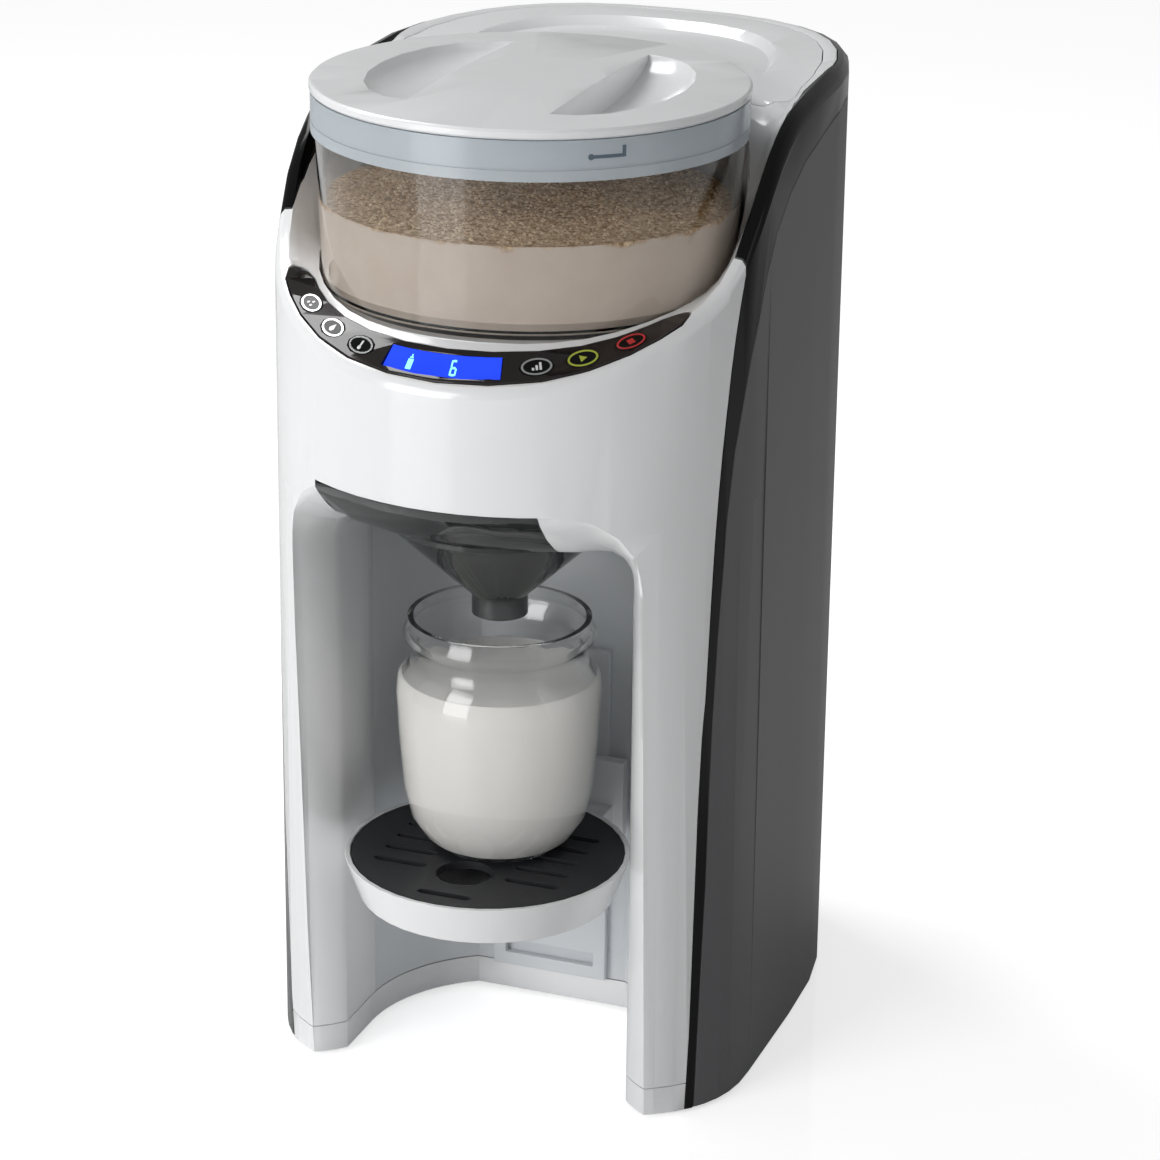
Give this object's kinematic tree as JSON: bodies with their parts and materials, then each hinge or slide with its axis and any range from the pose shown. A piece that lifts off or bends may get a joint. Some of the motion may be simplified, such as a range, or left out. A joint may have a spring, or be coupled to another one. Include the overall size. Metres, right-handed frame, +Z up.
{
  "type": "baby formula maker",
  "caption": "Countertop baby formula maker: clear powder hopper over a funnel and bottle niche, curved button panel with display, removable water tank behind, grey and black wrap.",
  "frame": {"origin": "Under the middle of the machine, on the plane that its feet stand on.", "axes": "+Z up. The front, with the bottle niche, faces -Y. +X is to the right for someone who faces the front."},
  "size_m": [0.183, 0.258, 0.3739],
  "materials": {
    "white": "glossy white moulded shell",
    "gloss_black": "glossy black moulding",
    "grey_satin": "satin grey moulded wrap",
    "liner_white": "pale satin moulding",
    "inner_plastic": "plain inner moulding",
    "gear_plastic": "natural acetal",
    "steel": "bare steel",
    "smoke_plastic": "smoke grey see-through moulding",
    "clear_plastic": "clear moulding",
    "collar_plastic": "pale blue see-through ring",
    "powder": "dry formula powder",
    "milk": "made-up milk",
    "foot_rubber": "soft foot",
    "seal_silicone": "translucent silicone",
    "hose_silicone": "silicone tube",
    "panel_gloss": "dark glossy panel",
    "screen": "lit blue display window",
    "circuit_board": "green circuit board",
    "inlet_black": "black mains inlet",
    "tray_grey": "dark satin moulding"
  },
  "bodies": {
    "machine": {"front_shell": "white", "trim_hoop": "gloss_black", "rear_shell": "grey_satin", "base_plate": "white", "foot_front_left": "foot_rubber", "foot_front_right": "foot_rubber", "foot_rear_left": "foot_rubber", "foot_rear_right": "foot_rubber", "niche_liner": "liner_white", "tray_rail": "liner_white", "chassis": "inner_plastic", "hopper_seat": "white", "mechanism_shelf": "inner_plastic", "gear_plate": "inner_plastic", "spindle_bush": "gear_plastic", "motor": "steel", "powder_chute": "liner_white", "panel_bezel": "panel_gloss", "display_lens": "screen", "display_module": "circuit_board", "button_strip": "circuit_board", "control_board": "circuit_board", "valve_socket": "inner_plastic", "pump": "steel", "heater": "steel", "suction_hose": "hose_silicone", "pressure_hose": "hose_silicone", "hot_hose": "hose_silicone", "water_nozzle": "steel", "power_board": "circuit_board", "mains_inlet": "inlet_black"},
    "drive": {"drive_spindle": "steel", "drive_gear": "gear_plastic"},
    "pinion": {"pinion": "gear_plastic", "motor_shaft": "steel"},
    "hopper": {"hopper": "clear_plastic", "hopper_collar": "collar_plastic", "powder_fill": "powder"},
    "lid": {"hopper_lid": "white", "lid_gasket": "seal_silicone"},
    "wheel": {"dosing_wheel": "gear_plastic", "stirrer": "gear_plastic"},
    "funnel": {"funnel": "smoke_plastic", "funnel_cover": "smoke_plastic"},
    "tank": {"water_tank": "clear_plastic", "tank_valve": "gear_plastic", "tank_seal": "seal_silicone"},
    "tank_lid": {"tank_lid": "white"},
    "tray": {"drip_tray": "white"},
    "grate": {"drip_grate": "tray_grey"},
    "jar": {"feeding_jar": "clear_plastic", "milk_fill": "milk"},
    "formula_select": {"formula_select_button": "gloss_black"},
    "water_only": {"water_only_button": "gloss_black"},
    "temperature": {"temperature_button": "gloss_black"},
    "amount": {"amount_button": "gloss_black"},
    "start": {"start_button": "gloss_black"},
    "stop": {"stop_button": "gloss_black"}
  },
  "joints": [
    {"name": "hopper_lift", "type": "slide", "parent": "machine", "child": "hopper", "axis": [0, 0, 1], "range_m": [0, 0.14]},
    {"name": "lid_twist", "type": "hinge", "parent": "hopper", "child": "lid", "pos_m": [0, -0.039, 0.36], "axis": [0, 0, 1], "range_deg": [0, 30]},
    {"name": "wheel_spin", "type": "hinge", "parent": "hopper", "child": "wheel", "pos_m": [0, -0.039, 0.3035], "axis": [0, 0, 1], "continuous": true},
    {"name": "drive_spin", "type": "hinge", "parent": "machine", "child": "drive", "pos_m": [0, -0.039, 0.28], "axis": [0, 0, 1], "continuous": true},
    {"name": "pinion_spin", "type": "hinge", "parent": "machine", "child": "pinion", "pos_m": [0.01697, -0.02203, 0.2756], "axis": [0, 0, 1], "continuous": true},
    {"name": "tank_lift", "type": "slide", "parent": "machine", "child": "tank", "axis": [0, 0, 1], "range_m": [0, 0.2]},
    {"name": "tank_lid_lift", "type": "slide", "parent": "tank", "child": "tank_lid", "axis": [0, 0, 1], "range_m": [0, 0.06]},
    {"name": "funnel_pull", "type": "slide", "parent": "machine", "child": "funnel", "axis": [0, -1, 0], "range_m": [0, 0.07]},
    {"name": "tray_pull", "type": "slide", "parent": "machine", "child": "tray", "axis": [0, -1, 0], "range_m": [0, 0.06]},
    {"name": "grate_lift", "type": "slide", "parent": "tray", "child": "grate", "axis": [0, 0, 1], "range_m": [0, 0.012]},
    {"name": "jar_slide", "type": "slide", "parent": "grate", "child": "jar", "axis": [0, -1, 0], "range_m": [0, 0.06]},
    {"name": "formula_select_press", "type": "slide", "parent": "machine", "child": "formula_select", "axis": [0.0314, 0.3983, -0.9167], "range_m": [0, 0.0008], "stiffness_N_per_m": 300, "springref_m": -0.001},
    {"name": "water_only_press", "type": "slide", "parent": "machine", "child": "water_only", "axis": [0.1761, 0.5579, -0.811], "range_m": [0, 0.0008], "stiffness_N_per_m": 300, "springref_m": -0.001},
    {"name": "temperature_press", "type": "slide", "parent": "machine", "child": "temperature", "axis": [0.1954, 0.6578, -0.7274], "range_m": [0, 0.0008], "stiffness_N_per_m": 300, "springref_m": -0.001},
    {"name": "amount_press", "type": "slide", "parent": "machine", "child": "amount", "axis": [-0.1954, 0.6578, -0.7274], "range_m": [0, 0.0008], "stiffness_N_per_m": 300, "springref_m": -0.001},
    {"name": "start_press", "type": "slide", "parent": "machine", "child": "start", "axis": [-0.1761, 0.5579, -0.811], "range_m": [0, 0.0008], "stiffness_N_per_m": 300, "springref_m": -0.001},
    {"name": "stop_press", "type": "slide", "parent": "machine", "child": "stop", "axis": [-0.0314, 0.3983, -0.9167], "range_m": [0, 0.0008], "stiffness_N_per_m": 300, "springref_m": -0.001}
  ],
  "couplings": [
    {"joint": "wheel_spin", "follows": "drive_spin", "ratio": 1},
    {"joint": "pinion_spin", "follows": "drive_spin", "ratio": -2}
  ]
}
